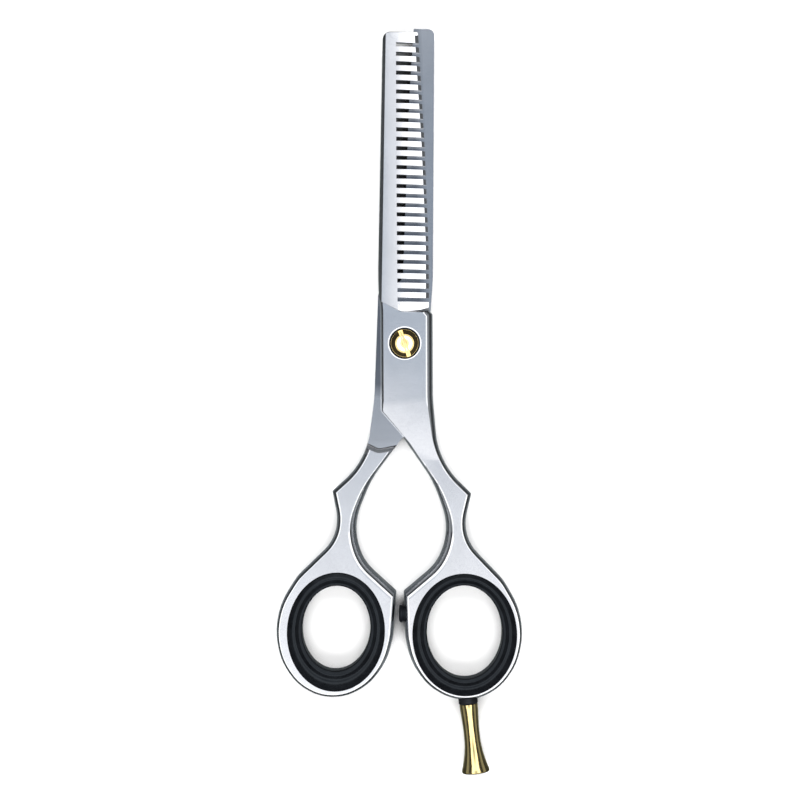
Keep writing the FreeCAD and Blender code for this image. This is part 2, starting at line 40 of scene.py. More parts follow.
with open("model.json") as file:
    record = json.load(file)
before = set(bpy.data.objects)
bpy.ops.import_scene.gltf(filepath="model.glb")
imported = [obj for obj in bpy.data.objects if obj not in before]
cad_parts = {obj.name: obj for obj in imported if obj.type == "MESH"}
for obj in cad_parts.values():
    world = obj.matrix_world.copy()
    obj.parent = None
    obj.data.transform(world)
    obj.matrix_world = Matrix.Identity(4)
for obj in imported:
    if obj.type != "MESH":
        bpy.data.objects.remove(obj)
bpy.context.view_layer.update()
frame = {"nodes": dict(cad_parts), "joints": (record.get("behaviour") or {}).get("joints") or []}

MM = 0.001
WELD = 1e-6                 # metres within which two points are one
JOINTS = {joint["name"]: joint for joint in frame["joints"]}


# ---------------------------------------------------------------- modelling helpers

def select_only(piece):
    if bpy.context.object and bpy.context.object.mode != "OBJECT":
        bpy.ops.object.mode_set(mode="OBJECT")
    bpy.ops.object.select_all(action="DESELECT")
    if piece:
        piece.select_set(True)
    bpy.context.view_layer.objects.active = piece


def edit_all(piece):
    select_only(piece)
    bpy.ops.object.mode_set(mode="EDIT")
    bpy.ops.mesh.select_all(action="SELECT")


def close_up(piece):
    """Welds the doubles of a shape and turns its faces outwards."""
    edit_all(piece)
    bpy.ops.mesh.remove_doubles(threshold=WELD)
    bpy.ops.mesh.normals_make_consistent(inside=False)
    bpy.ops.object.mode_set(mode="OBJECT")


def settle(piece, turn=(0, 0, 0), place=(0, 0, 0), axis=None):
    """Puts a piece modelled at the origin in its place, and keeps that place in its mesh."""
    select_only(piece)
    piece.rotation_mode = "XYZ"
    if axis is None:
        piece.rotation_euler = turn
    else:
        piece.rotation_euler = Vector(axis).to_track_quat("Z", "Y").to_euler()
    piece.location = place
    bpy.ops.object.transform_apply(location=True, rotation=True, scale=True)
    return piece


def smooth(piece, degrees):
    select_only(piece)
    bpy.ops.object.shade_smooth_by_angle(angle=math.radians(degrees))
    return piece


def round_edges(piece, width, degrees, segments=2):
    select_only(piece)
    bevel = piece.modifiers.new("Edge rounding", "BEVEL")
    bevel.width = width
    bevel.segments = segments
    bevel.limit_method = "ANGLE"
    bevel.angle_limit = math.radians(degrees)
    bevel.use_clamp_overlap = True
    bpy.ops.object.modifier_apply(modifier=bevel.name)
    return piece


def true_faces(piece):
    """Keeps large ground faces flat to the eye where they meet a rounded edge."""
    select_only(piece)
    weighted = piece.modifiers.new("Weighted normals", "WEIGHTED_NORMAL")
    weighted.mode = "FACE_AREA"
    weighted.weight = 80
    weighted.keep_sharp = True
    bpy.ops.object.modifier_apply(modifier=weighted.name)
    return piece


def cut_away(piece, cutter):
    select_only(piece)
    cut = piece.modifiers.new("Cut", "BOOLEAN")
    cut.operation = "DIFFERENCE"
    cut.solver = "EXACT"
    cut.object = cutter
    bpy.ops.object.modifier_apply(modifier=cut.name)
    bpy.data.objects.remove(cutter)
    return piece


def turned(name, profile, steps):
    """Lathe work: an open or closed (radius, height) outline in millimetres, spun about Z."""
    select_only(None)
    bpy.ops.mesh.primitive_plane_add(size=MM)
    piece = bpy.context.object
    piece.name = name
    edit_all(piece)
    bpy.ops.mesh.merge(type="CENTER")
    radius, height = profile[0]
    bpy.ops.transform.translate(value=(radius * MM, 0, height * MM))
    for before, here in zip(profile, profile[1:]):
        step = ((here[0] - before[0]) * MM, 0, (here[1] - before[1]) * MM)
        bpy.ops.mesh.extrude_region_move(TRANSFORM_OT_translate={"value": step})
    bpy.ops.mesh.select_all(action="SELECT")
    bpy.ops.mesh.spin(steps=steps, angle=2 * math.pi, center=(0, 0, 0), axis=(0, 0, 1))
    close_up(piece)
    return piece


def ring_of_loops(name, loops, steps):
    """Closed ring skinned through ellipses, in metres: half width, half length, shift in x and y, height."""
    select_only(None)
    bpy.ops.mesh.primitive_circle_add(vertices=steps, radius=1.0, fill_type="NOTHING")
    piece = bpy.context.object
    piece.name = name
    edit_all(piece)
    wide, long, x, y, z = loops[0]
    bpy.ops.transform.resize(value=(wide, long, 1), center_override=(0, 0, 0))
    bpy.ops.transform.translate(value=(x, y, z))
    for before, here in zip(loops, loops[1:]):
        step = [now - then for now, then in zip(here[2:], before[2:])]
        bpy.ops.mesh.extrude_region_move(TRANSFORM_OT_translate={"value": step})
        growth = (here[0] / before[0], here[1] / before[1], 1)
        bpy.ops.transform.resize(value=growth, center_override=here[2:])
    close_up(piece)
    return piece


def cad_copy(node, name):
    """Welded copy of a CAD node's mesh, free to be worked on."""
    select_only(None)
    piece = bpy.data.objects.new(name, frame["nodes"][node].data.copy())
    bpy.context.collection.objects.link(piece)
    select_only(piece)
    bpy.ops.mesh.customdata_custom_splitnormals_clear()
    edit_all(piece)
    bpy.ops.mesh.remove_doubles(threshold=WELD)
    bpy.ops.mesh.dissolve_limited(angle_limit=math.radians(0.3))
    bpy.ops.object.mode_set(mode="OBJECT")
    return piece


def dress(piece, material, body=None, replaces=()):
    """Gives a finished piece its material, the body it rides on and the CAD nodes it stands for."""
    piece.data.materials.clear()
    piece.data.materials.append(material)
    if body:
        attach(piece, body)
    if replaces:
        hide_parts(*replaces)
    return piece


# ---------------------------------------------------------------- material helpers

class Finish:
    """A material's node tree, with short names for what the finishes here are made of."""

    def __init__(self, name):
        self.material = bpy.data.materials.new(name)
        self.material.use_nodes = True
        self.tree = self.material.node_tree
        self.tree.nodes.clear()
        output = self.add("ShaderNodeOutputMaterial")
        self.shader = self.add("ShaderNodeBsdfPrincipled")
        self.link(self.shader.outputs["BSDF"], output.inputs["Surface"])
        self.coordinates = self.add("ShaderNodeTexCoord").outputs["Object"]

    def add(self, kind, **settings):
        node = self.tree.nodes.new(kind)
        for key, value in settings.items():
            setattr(node, key, value)
        return node

    def link(self, source, target):
        self.tree.links.new(source, target)

    def fixed(self, **values):
        for key, value in values.items():
            self.shader.inputs[key.replace("_", " ")].default_value = value

    def stretched(self, scale, turn=0.0):
        mapping = self.add("ShaderNodeMapping")
        mapping.inputs["Scale"].default_value = scale
        mapping.inputs["Rotation"].default_value = (0, 0, turn)
        self.link(self.coordinates, mapping.inputs["Vector"])
        return mapping.outputs["Vector"]

    def noise(self, vector, scale, detail=3.0, roughness=0.55):
        noise = self.add("ShaderNodeTexNoise")
        noise.inputs["Scale"].default_value = scale
        noise.inputs["Detail"].default_value = detail
        noise.inputs["Roughness"].default_value = roughness
        self.link(vector, noise.inputs["Vector"])
        return noise.outputs["Fac"]

    def ramp(self, value, stops):
        ramp = self.add("ShaderNodeValToRGB")
        elements = ramp.color_ramp.elements
        while len(elements) < len(stops):
            elements.new(0.5)
        for element, (position, color) in zip(elements, stops):
            element.position = position
            element.color = (*color, 1.0)
        self.link(value, ramp.inputs["Fac"])
        return ramp.outputs["Color"]

    def spread(self, value, low, high, start=0.0, end=1.0):
        spread = self.add("ShaderNodeMapRange")
        for key, number in (("From Min", start), ("From Max", end), ("To Min", low), ("To Max", high)):
            spread.inputs[key].default_value = number
        self.link(value, spread.inputs["Value"])
        return spread.outputs["Result"]

    def product(self, first, second):
        times = self.add("ShaderNodeMath", operation="MULTIPLY")
        self.link(first, times.inputs[0])
        self.link(second, times.inputs[1])
        return times.outputs["Value"]

    def blend(self, factor, first, second, mode="MIX"):
        mix = self.add("ShaderNodeMix", data_type="RGBA", blend_type=mode)
        if isinstance(factor, float):
            mix.inputs["Factor"].default_value = factor
        else:
            self.link(factor, mix.inputs["Factor"])
        self.link(first, mix.inputs["A"])
        self.link(second, mix.inputs["B"])
        return mix.outputs["Result"]

    def relief(self, height, distance, strength=1.0, below=None):
        bump = self.add("ShaderNodeBump")
        bump.inputs["Strength"].default_value = strength
        bump.inputs["Distance"].default_value = distance
        self.link(height, bump.inputs["Height"])
        if below:
            self.link(below, bump.inputs["Normal"])
        return bump.outputs["Normal"]


def lighter(color, factor):
    return tuple(min(1.0, channel * factor) for channel in color)


# Where a half's painted shade and milled finish change, in metres: each pair is the start and the end of a
# zone's fade.
LAP_SKIN = (0.00003, 0.00008)           # height off a lap face
LAP_START = (-0.026, -0.02)             # lap faces' lower ends, along the blades
SHADE_TAPER = 0.0509                    # slope of the painted blade shade's border against the blade
SHADE_BORDER = (0.0034, 0.0058)
SHADE_START = (-0.0115, -0.0085)
SCOOP_FLOOR = (0.00122, 0.00112)        # below the middle of a milled scoop
SCOOP_TOP = (0.00105, 0.00115)          # above it
SCOOP_RADIUS = (0.0028, 0.0034)
SCOOP_MATT = 0.38                       # roughness that milling adds


def satin_steel(name, color, grain_turn, lap_face, lap_shade_tone, scoop, blade_shade_tone=None):
    """Satin-polished steel with a fine grain, painted shade on the hollow-ground lap faces and, when given,
    on the plain blade under the comb teeth, and a matt milled scoop.
    """
    look = Finish(name)
    look.fixed(Metallic=1.0)
    grain = look.noise(look.stretched((900.0, 2400.0, 1500.0), grain_turn), 1.0, 4.0, 0.6)
    cloud = look.noise(look.coordinates, 160.0, 4.0)
    speck = look.noise(look.coordinates, 3000.0, 2.0)
    base = look.ramp(cloud, [(0.3, lighter(color, 0.95)), (0.7, lighter(color, 1.03))])
    lines = look.ramp(speck, [(0.3, (0.94, 0.94, 0.95)), (0.6, (1.0, 1.0, 1.0))])
    outside = look.blend(1.0, base, lines, "MULTIPLY")
    parts = look.add("ShaderNodeSeparateXYZ")
    look.link(look.coordinates, parts.inputs["Vector"])
    near, far = LAP_SKIN
    above = look.spread(parts.outputs["Z"], 0.0, 1.0, lap_face - far, lap_face - near)
    below = look.spread(parts.outputs["Z"], 1.0, 0.0, lap_face + near, lap_face + far)
    ahead = look.spread(parts.outputs["Y"], 0.0, 1.0, *LAP_START)
    # Painted shade: the lap faces, where one half covers the other, are mixed to a darker colour.
    lap = look.product(look.product(above, below), ahead)
    hollow = look.ramp(cloud, [(0.3, lighter(lap_shade_tone, 0.9)), (0.7, lap_shade_tone)])
    if blade_shade_tone:
        # Painted shade on the plain blade where the comb teeth lie over it, seen through the slots.
        taper = look.add("ShaderNodeVectorMath", operation="DOT_PRODUCT")
        taper.inputs[1].default_value = (1.0, SHADE_TAPER, 0.0)
        look.link(look.coordinates, taper.inputs[0])
        shadowed = look.ramp(cloud, [(0.3, lighter(blade_shade_tone, 0.85)), (0.7, blade_shade_tone)])
        zone = look.product(
            look.spread(taper.outputs["Value"], 1.0, 0.0, *SHADE_BORDER),
            look.spread(parts.outputs["Y"], 0.0, 1.0, *SHADE_START))
        hollow = look.blend(zone, hollow, shadowed)
    look.link(look.blend(lap, outside, hollow), look.shader.inputs["Base Color"])
    apart = look.add("ShaderNodeVectorMath", operation="DISTANCE")
    apart.inputs[1].default_value = scoop
    look.link(look.coordinates, apart.inputs[0])
    scooped = look.product(
        look.spread(parts.outputs["Z"], 0.0, 1.0, *(scoop[2] - depth for depth in SCOOP_FLOOR)),
        look.spread(parts.outputs["Z"], 1.0, 0.0, *(scoop[2] + rise for rise in SCOOP_TOP)))
    matt = look.product(scooped, look.spread(apart.outputs["Value"], SCOOP_MATT, 0.0, *SCOOP_RADIUS))
    polish = look.add("ShaderNodeMath", operation="ADD")
    look.link(look.spread(grain, 0.14, 0.18), polish.inputs[0])
    look.link(matt, polish.inputs[1])
    look.link(polish.outputs["Value"], look.shader.inputs["Roughness"])
    marks = look.relief(speck, 0.000002, 0.5)
    look.link(look.relief(grain, 0.0000018, 0.5, marks), look.shader.inputs["Normal"])
    return look.material


# Painted highlight ring on the pivot screw's head: each pair is where it fades in or out, in metres from the
# axis.
GLINT_FROM = (0.00085, 0.0011)
GLINT_TO = (0.0015, 0.0017)
GLINT_FADE = 0.00001                     # height over which the painted highlight reaches full


def polished_gold(name, color, glint_tone=None, glint_above=0.0):
    """Gold plating on a turned piece: bright, unevenly polished, with a pale painted highlight ring where it
    is told to.
    """
    look = Finish(name)
    look.fixed(Metallic=1.0)
    cloud = look.noise(look.coordinates, 420.0, 4.0)
    fine = look.noise(look.coordinates, 1900.0, 3.0)
    plating = look.ramp(cloud, [(0.3, lighter(color, 0.86)), (0.7, color)])
    # Painted highlight: a pale ring on the dished head stands in for the light it reflects.
    if glint_tone:
        flat = look.add("ShaderNodeVectorMath", operation="MULTIPLY")
        flat.inputs[1].default_value = (1.0, 1.0, 0.0)
        look.link(look.coordinates, flat.inputs[0])
        radius = look.add("ShaderNodeVectorMath", operation="LENGTH")
        look.link(flat.outputs["Vector"], radius.inputs[0])
        parts = look.add("ShaderNodeSeparateXYZ")
        look.link(look.coordinates, parts.inputs["Vector"])
        inside = look.product(
            look.spread(radius.outputs["Value"], 0.0, 1.0, *GLINT_FROM),
            look.spread(radius.outputs["Value"], 1.0, 0.0, *GLINT_TO))
        face = look.spread(parts.outputs["Z"], 0.0, 1.0, glint_above - GLINT_FADE, glint_above)
        pale = look.ramp(cloud, [(0.3, lighter(glint_tone, 0.94)), (0.7, glint_tone)])
        plating = look.blend(look.product(inside, face), plating, pale)
    look.link(plating, look.shader.inputs["Base Color"])
    look.link(look.spread(cloud, 0.08, 0.2), look.shader.inputs["Roughness"])
    look.link(look.relief(fine, 0.000012, 0.6), look.shader.inputs["Normal"])
    return look.material


def soft_rubber(name, color, roughness):
    """Moulded black rubber: matt pores under a faint sheen, a little uneven."""
    look = Finish(name)
    look.fixed(Metallic=0.0, Specular_IOR_Level=0.25, Specular_Tint=(0.78, 0.9, 1.0, 1.0))
    cloud = look.noise(look.coordinates, 500.0, 3.0)
    pores = look.noise(look.coordinates, 5200.0, 2.0)
    mottled = look.ramp(cloud, [(0.3, lighter(color, 0.7)), (0.7, lighter(color, 1.5))])
    look.link(mottled, look.shader.inputs["Base Color"])
    look.link(look.spread(cloud, roughness - 0.06, roughness + 0.08), look.shader.inputs["Roughness"])
    look.link(look.relief(pores, 0.000008, 0.4), look.shader.inputs["Normal"])
    return look.material


def turned_steel(name, color, roughness):
    """Lathe-turned steel: fine rings round the pivot axis."""
    look = Finish(name)
    look.fixed(Metallic=1.0)
    rings = look.add("ShaderNodeTexWave", wave_type="RINGS", rings_direction="Z")
    rings.inputs["Scale"].default_value = 2200.0
    rings.inputs["Distortion"].default_value = 1.5
    look.link(look.coordinates, rings.inputs["Vector"])
    cloud = look.noise(look.coordinates, 700.0)
    clouded = look.ramp(cloud, [(0.3, lighter(color, 0.88)), (0.7, lighter(color, 1.05))])
    look.link(clouded, look.shader.inputs["Base Color"])
    turning = look.spread(rings.outputs["Fac"], roughness - 0.07, roughness + 0.07)
    look.link(turning, look.shader.inputs["Roughness"])
    look.link(look.relief(rings.outputs["Fac"], 0.000005, 0.5), look.shader.inputs["Normal"])
    return look.material


def cloudy_nylon(name, color):
    """Natural nylon: milky, waxy and faintly mottled."""
    look = Finish(name)
    look.fixed(Metallic=0.0)
    cloud = look.noise(look.coordinates, 900.0, 3.0)
    look.link(look.ramp(cloud, [(0.3, lighter(color, 0.9)), (0.7, color)]), look.shader.inputs["Base Color"])
    look.link(look.spread(cloud, 0.35, 0.5), look.shader.inputs["Roughness"])
    look.link(look.relief(cloud, 0.00001, 0.3), look.shader.inputs["Normal"])
    return look.material


# ---------------------------------------------------------------- sizes and colours

def length(name, description, default):
    return bpy.props.FloatProperty(
        name=name, description=description, default=default, unit="LENGTH", precision=5)


def color(name, description, default):
    return bpy.props.FloatVectorProperty(
        name=name, description=description, default=default, size=3, min=0.0, max=1.0, subtype="COLOR")


class ShearsSteel(bpy.types.PropertyGroup):
    comb_color: color("Comb steel", "Colour of the comb half", (0.76, 0.77, 0.79))
    plain_color: color("Plain steel", "Colour of the plain half", (0.72, 0.735, 0.76))
    # Painted shade: darker colours for the lap faces where the halves cover each other, and for the plain
    # blade under the comb teeth.
    lap_shade_color: color("Lap faces", "Colour of the hollow-ground faces between the halves", (0.5, 0.52, 0.55))
    blade_shade_color: color("Blade shade, painted", "Colour of the plain blade's honed zone", (0.2, 0.215, 0.24))
    edge_round: length("Edge rounding", "Width of the rounding on the halves' sharp edges", 0.00007)
    nut_color: color("Nut steel", "Colour of the pivot nut", (0.62, 0.63, 0.66))
    spring_color: color("Spring steel", "Colour of the conical spring washer", (0.5, 0.5, 0.52))
    stud_color: color("Stud steel", "Colour of the finger rest's stud", (0.6, 0.6, 0.62))
    nylon_color: color("Nylon", "Colour of the bushing and the glide washer", (0.86, 0.86, 0.84))


class ShearsRubber(bpy.types.PropertyGroup):
    rubber_color: color("Rubber", "Colour of the ring inserts", (0.0035, 0.004, 0.005))
    tilt: bpy.props.FloatProperty(
        name="Insert tilt", description="Lean of each insert's long axis, away from the centre line",
        default=math.radians(2.345), unit="ROTATION")
    flange: length("Flange", "Rubber over the ring's faces, past the bore", 0.0011)
    comb_side: length("Comb side wall", "Rubber beside the comb half's finger hole", 0.00195)
    comb_end: length("Comb end wall", "Rubber at the ends of the comb half's finger hole", 0.002)
    comb_rise: length("Comb hole rise", "Comb half's finger hole above the middle of its insert", 0.00055)
    plain_side: length("Plain side wall", "Rubber beside the plain half's finger hole", 0.002)
    plain_end: length("Plain end wall", "Rubber at the ends of the plain half's finger hole", 0.0025)
    plain_rise: length("Plain hole rise", "Plain half's finger hole above the middle of its insert", 0.00075)


class ShearsPivot(bpy.types.PropertyGroup):
    gold_color: color("Screw gold", "Colour of the pivot screw's plating", (0.95, 0.73, 0.32))
    cup_color: color("Cup polymer", "Colour of the cup washer", (0.01, 0.01, 0.011))
    slot_width: length("Slot width", "Width of the screwdriver slot", 0.001)
    slot_depth: length("Slot depth", "Depth of the screwdriver slot below the rim", 0.0005)
    slot_fall: bpy.props.FloatProperty(
        name="Slot fall", description="Fall of the slot's bottom from its middle to its sides",
        default=math.radians(9.0), unit="ROTATION")
    # Painted highlight ring on the screw head's dish.
    glint_color: color("Painted glint ring", "Colour of the painted highlight ring on the dish", (0.95, 0.92, 0.86))
    slot_turn: bpy.props.FloatProperty(
        name="Slot turn", description="Turn of the slot from the blades' direction, to the left",
        default=math.radians(20.5), unit="ROTATION")


class ShearsRest(bpy.types.PropertyGroup):
    gold_color: color("Rest gold", "Colour of the finger rest's plating", (0.97, 0.78, 0.36))
    washer_color: color("Washer rubber", "Colour of the collar under the finger rest", (0.007, 0.007, 0.008))


class ShearsStage(bpy.types.PropertyGroup):
    camera_place: bpy.props.FloatVectorProperty(
        name="Camera place", description="Where the camera stands", size=3, subtype="TRANSLATION",
        default=(-0.000743, -0.011736, 0.403), precision=6)
    camera_turn: bpy.props.FloatProperty(
        name="Camera turn", description="Turn of the camera about the pivot axis", default=math.radians(1.05),
        unit="ROTATION")
    lens: bpy.props.FloatProperty(
        name="Lens", description="Focal length in millimetres", default=86.4, min=10.0)
    floor_size: length("Floor size", "Side of the pale floor", 6.0)
    floor_color: color("Floor", "Colour of the floor", (0.9, 0.9, 0.9))
    # Painted reflection: tone of the floor copy that only polished edges show.
    mirrored_color: color(
        "Floor in reflections", "Tone of the floor as polished edges show it", (0.16, 0.175, 0.182))
    box_power: bpy.props.FloatProperty(
        name="Softbox power", description="Power of each overhead softbox", default=23.0, unit="POWER")


# ---------------------------------------------------------------- pieces

# Marks on the two halves, in metres: heights of their lap faces, and the middles of their milled scoops.
COMB_LAP, PLAIN_LAP = 0.00303, 0.00297
COMB_SCOOP, PLAIN_SCOOP = (0.0047, -0.0222, 0.00175), (-0.0047, -0.0222, 0.00425)


class SHEARS_OT_halves(bpy.types.Operator):
    """Comb half and plain half, with the sharp edges of their steel broken"""
    bl_idname = "shears.halves"
    bl_label = "Comb and plain halves"

    def execute(self, context):
        sizes = context.scene.shears_steel
        lap_shade_tone = tuple(sizes.lap_shade_color)
        comb = satin_steel(
            "Satin steel, comb", tuple(sizes.comb_color), math.radians(20), COMB_LAP, lap_shade_tone, COMB_SCOOP)
        plain = satin_steel(
            "Satin steel, plain", tuple(sizes.plain_color), math.radians(-15), PLAIN_LAP, lap_shade_tone,
            PLAIN_SCOOP, tuple(sizes.blade_shade_color))
        for node, material, body in (("comb_half", comb, "comb"), ("plain_half", plain, "plain")):
            piece = cad_copy(node, node + "_steel")
            round_edges(piece, sizes.edge_round, 40)
            smooth(piece, 22)
            true_faces(piece)
            dress(piece, material, body, [node])
        return {"FINISHED"}


# Half section of a ring insert: share of the way from rim to finger hole, and depth below its top.
BEAD = [
    (0.0, 0.5), (0.01, 0.47), (0.1, 0.36), (0.2, 0.235), (0.3, 0.11), (0.36, 0.045), (0.41, 0.012),
    (0.46, 0.0), (0.5, 0.01), (0.54, 0.04), (0.58, 0.09), (0.64, 0.22), (0.7, 0.38), (0.74, 0.48),
    (0.78, 0.54), (0.82, 0.555), (0.87, 0.54), (0.91, 0.55), (0.95, 0.62), (0.975, 0.8), (0.99, 1.2),
    (1.0, 1.9), (1.0, 3.0),
]


class SHEARS_OT_inserts(bpy.types.Operator):
    """Rubber inserts of the two finger rings, each a bead with an inner step and a flared hole"""
    bl_idname = "shears.inserts"
    bl_label = "Ring inserts"

    def execute(self, context):
        sizes = context.scene.shears_rubber
        rubber = soft_rubber("Insert rubber", tuple(sizes.rubber_color), 0.22)
        rows = (
            ("comb", 1, sizes.comb_side, sizes.comb_end, sizes.comb_rise),
            ("plain", -1, sizes.plain_side, sizes.plain_end, sizes.plain_rise),
        )
        for body, side, wall_side, wall_end, rise in rows:
            node = body + "_ring_insert"
            low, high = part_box(node)
            middle = (low + high) / 2
            rim = ((high.x - low.x) / 2, (high.y - low.y) / 2)
            hole = (rim[0] - sizes.flange - wall_side, rim[1] - sizes.flange - wall_end)
            half = middle.z - low.z

            def loop(share, height):
                wide = rim[0] + (hole[0] - rim[0]) * share
                long = rim[1] + (hole[1] - rim[1]) * share
                return (wide, long, 0.0, rise * share, height)

            upper = [loop(share, half - depth * MM) for share, depth in BEAD]
            lower = [loop(share, depth * MM - half) for share, depth in reversed(BEAD[:-1])]
            sleeve_share = sizes.flange / (rim[0] - hole[0])
            step = half - BEAD[0][1] * MM
            sleeve = [loop(sleeve_share, -step), loop(sleeve_share, step), upper[0]]
            piece = ring_of_loops(node + "_rubber", upper + lower + sleeve, 128)
            settle(piece, turn=(0, 0, side * sizes.tilt), place=(middle.x, middle.y, middle.z))
            smooth(piece, 40)
            dress(piece, rubber, body, [node])
        return {"FINISHED"}


# Dished head of the pivot screw, from the middle out: radius, and depth below its rim.
HEAD = [
    (0.0, 0.2), (0.35, 0.205), (0.6, 0.225), (0.8, 0.265), (1.15, 0.345), (1.5, 0.43), (1.72, 0.475),
    (1.84, 0.475), (1.95, 0.44), (2.15, 0.35), (2.4, 0.225), (2.65, 0.1), (2.8, 0.025), (2.84, 0.01),
    (2.87, 0.03), (2.88, 0.08), (2.88, 0.26),
]


class SHEARS_OT_pivot(bpy.types.Operator):
    """Slotted gold screw with its dished head, in the black cup washer"""
    bl_idname = "shears.pivot"
    bl_label = "Pivot screw and cup"

    def execute(self, context):
        sizes = context.scene.shears_pivot
        low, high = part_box("pivot_screw")
        top, tip = high.z / MM, low.z / MM
        head_radius, head_height = HEAD[-1][0], 0.75
        shank_radius, point_radius, point = 1.2, 0.9, 0.3
        under_head = top - head_height
        profile = [(radius, top - depth) for radius, depth in HEAD]
        profile += [
            (head_radius, under_head), (shank_radius, under_head), (shank_radius, tip + point),
            (point_radius, tip), (0.0, tip),
        ]
        screw = turned("pivot_screw_gold", profile, 96)
        slot_bottom = high.z - sizes.slot_depth
        slot_length, slot_height, slot_share = 8 * MM, MM, 0.24
        for side in (-1, 1):
            select_only(None)
            bpy.ops.mesh.primitive_cube_add(size=1.0)
            cutter = bpy.context.object
            cutter.scale = (sizes.slot_width / 2, slot_length, slot_height)
            off = side * sizes.slot_width * slot_share
            across, along = off * math.cos(sizes.slot_turn), off * math.sin(sizes.slot_turn)
            settle(
                cutter, turn=(0, side * sizes.slot_fall, sizes.slot_turn),
                place=(across, along, slot_bottom + slot_height / 2))
            cut_away(screw, cutter)
        round_edges(screw, 0.03 * MM, 40)
        smooth(screw, 30)
        slot_edge = slot_bottom + 0.02 * MM
        gold = polished_gold("Screw gold", tuple(sizes.gold_color), tuple(sizes.glint_color), slot_edge)
        dress(screw, gold, "screw", ["pivot_screw"])

        low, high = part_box("screw_cup")
        bottom, lip = low.z / MM, high.z / MM
        bore, outer = 1.5, high.x / MM
        inner, seat = outer - 0.2, bottom + 0.35
        cup = turned("screw_cup_polymer", [
            (bore, bottom), (outer, bottom), (outer, lip - 0.05), (outer - 0.03, lip),
            (inner + 0.04, lip), (inner, lip - 0.06), (inner, seat + 0.1), (inner - 0.1, seat),
            (bore, seat), (bore, bottom),
        ], 96)
        smooth(cup, 40)
        polymer = soft_rubber("Cup polymer", tuple(sizes.cup_color), 0.4)
        dress(cup, polymer, "comb", ["screw_cup"])
        return {"FINISHED"}


class SHEARS_OT_bumper(bpy.types.Operator):
    """Rubber bumper that keeps the closed rings apart"""
    bl_idname = "shears.bumper"
    bl_label = "Bumper"

    def execute(self, context):
        low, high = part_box("bumper")
        middle = (low + high) / 2
        plug_radius, plug_length, slack = 0.9, 1.6, 0.02
        radius = (high.z - low.z) / 2 / MM - slack / 2
        waist = radius - 0.18
        proud = (high.x - low.x) / MM - plug_length - slack
        bumper = turned("bumper_rubber", [
            (0.0, plug_length), (plug_radius, plug_length), (plug_radius, 0.0), (radius, 0.0),
            (radius, -0.45), (waist, -0.55), (waist, -0.75), (radius, -0.87),
            (radius, -proud + 0.32), (radius - 0.1, -proud + 0.14), (radius - 0.35, -proud + 0.02),
            (radius - 0.7, -proud), (0.0, -proud),
        ], 64)
        lean = 0.006
        settle(bumper, place=(high.x - plug_length * MM, middle.y, middle.z), axis=(1, lean, 0))
        smooth(bumper, 40)
        rubber = soft_rubber("Bumper rubber", tuple(context.scene.shears_rubber.rubber_color), 0.42)
        dress(bumper, rubber, "comb", ["bumper"])
        return {"FINISHED"}


# Finger rest from its seat to its foot: height above the seat as a share, and radius.
REST = [
    (0.0, 1.72), (0.006, 1.86), (0.02, 1.9), (0.08, 1.88), (0.18, 1.79), (0.3, 1.69), (0.42, 1.64),
    (0.52, 1.66), (0.62, 1.76), (0.72, 1.98), (0.8, 2.23), (0.87, 2.5), (0.93, 2.78), (0.955, 2.87),
    (0.972, 2.88), (0.985, 2.78), (0.992, 2.5), (0.996, 1.9), (0.999, 1.0), (1.0, 0.0),
]


class SHEARS_OT_finger_rest(bpy.types.Operator):
    """Gold finger rest with its flared foot, and the rubber collar it is screwed down on"""
    bl_idname = "shears.finger_rest"
    bl_label = "Finger rest and collar"

    def execute(self, context):
        sizes = context.scene.shears_rest
        joint = JOINTS["rest_turn"]
        root, axis = Vector(joint["pos_m"]), Vector(joint["axis"])
        seat, length_mm, bore, depth = 1.0, 14.5, 1.03, 4.0
        profile = [(0.0, seat + depth), (bore, seat + depth), (bore, seat)]
        profile += [(radius, seat + share * length_mm) for share, radius in REST]
        rest = turned("finger_rest_gold", profile, 96)
        settle(rest, place=root, axis=axis)
        smooth(rest, 30)
        gold = polished_gold("Rest gold", tuple(sizes.gold_color))
        dress(rest, gold, "rest", ["finger_rest"])

        washer = turned("rest_washer_rubber", [
            (1.1, -0.35), (1.98, -0.35), (2.03, -0.3), (2.03, 0.15), (1.97, 0.3), (1.97, 0.42),
            (2.02, 0.55), (2.0, 0.85), (1.9, 0.96), (1.78, 1.0), (1.1, 1.0), (1.1, -0.35),
        ], 72)
        settle(washer, place=root, axis=axis)
        smooth(washer, 40)
        rubber = soft_rubber("Washer rubber", tuple(sizes.washer_color), 0.4)
        dress(washer, rubber, "rest_travel", ["rest_washer"])
        return {"FINISHED"}


class SHEARS_OT_fittings(bpy.types.Operator):
    """Finishes of the nut, bushing, washers and stud, whose CAD shape stays"""
    bl_idname = "shears.fittings"
    bl_label = "Nut, bushing, washers and stud"

    def execute(self, context):
        sizes = context.scene.shears_steel
        nylon = cloudy_nylon("Nylon", tuple(sizes.nylon_color))
        finishes = {
            "pivot_nut": turned_steel("Nut steel", tuple(sizes.nut_color), 0.3),
            "spring_washer": turned_steel("Spring steel", tuple(sizes.spring_color), 0.35),
            "finger_rest_stud": turned_steel("Stud steel", tuple(sizes.stud_color), 0.35),
            "pivot_bushing": nylon,
            "glide_washer": nylon,
        }
        for node, material in finishes.items():
            for slot in frame["nodes"][node].material_slots:
                slot.material = material
        return {"FINISHED"}


FILL_LIGHT = 0.25                       # strength of the even light from all round
BACKDROP = (0.93, 0.93, 0.94)           # what shows behind the floor
FLOOR_REACH = 0.008                     # metres over which the shears shade the floor
SOFTBOX_SIZE = (1.4, 0.8)
SOFTBOX_PLACES = ((0, -0.85, 0.95), (0, 0.85, 0.95))

